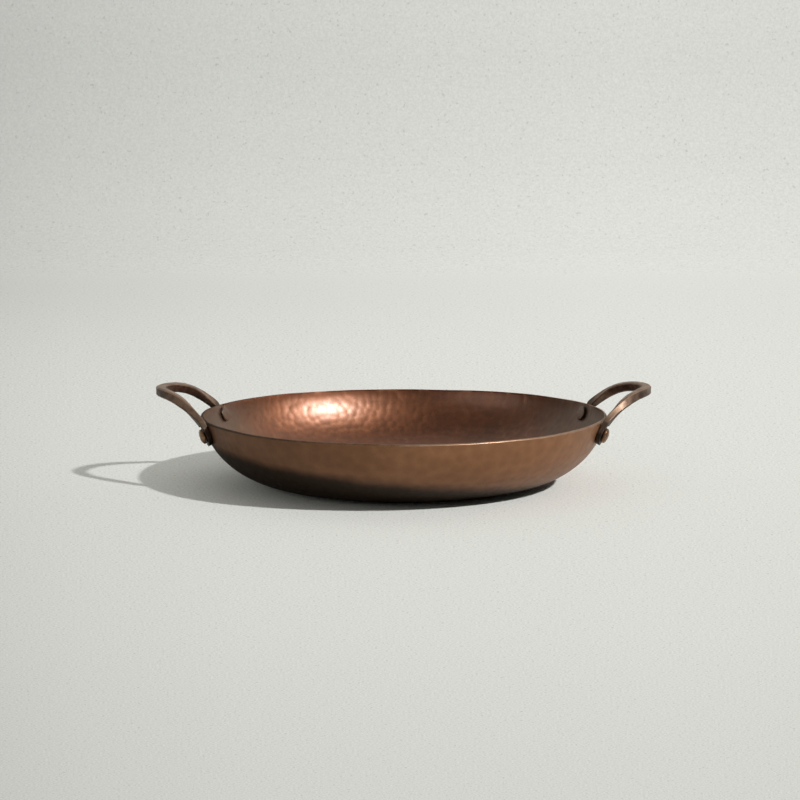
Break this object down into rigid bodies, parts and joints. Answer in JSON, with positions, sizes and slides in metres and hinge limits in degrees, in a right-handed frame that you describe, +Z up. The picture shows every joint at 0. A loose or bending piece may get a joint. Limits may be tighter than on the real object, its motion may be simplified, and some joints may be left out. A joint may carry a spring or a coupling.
{
  "type": "roasting pan",
  "caption": "Round, shallow roasting pan of hammered, seasoned steel, with upswept forged loop handles riveted to its wall at both ends.",
  "frame": {"origin": "on the ground under the middle of the pan", "axes": "+X from the middle towards the right handle, +Z up out of the bowl, -Y the front that the picture shows"},
  "size_m": [0.4034, 0.3298, 0.0787],
  "materials": {
    "hammered_steel": "hand-hammered sheet steel with a baked-on golden to reddish brown seasoning, satin gloss",
    "forged_steel": "forged bar with hammered facets, dark brown seasoning rubbed to copper brown on its edges",
    "rivet_steel": "hammer-set steel rivet heads, brown seasoning worn brighter on the crowns"
  },
  "bodies": {
    "root": {"pan": "hammered_steel", "handle_left": "forged_steel", "handle_right": "forged_steel", "rivet_left_front": "rivet_steel", "rivet_left_back": "rivet_steel", "rivet_right_front": "rivet_steel", "rivet_right_back": "rivet_steel"}
  },
  "joints": []
}
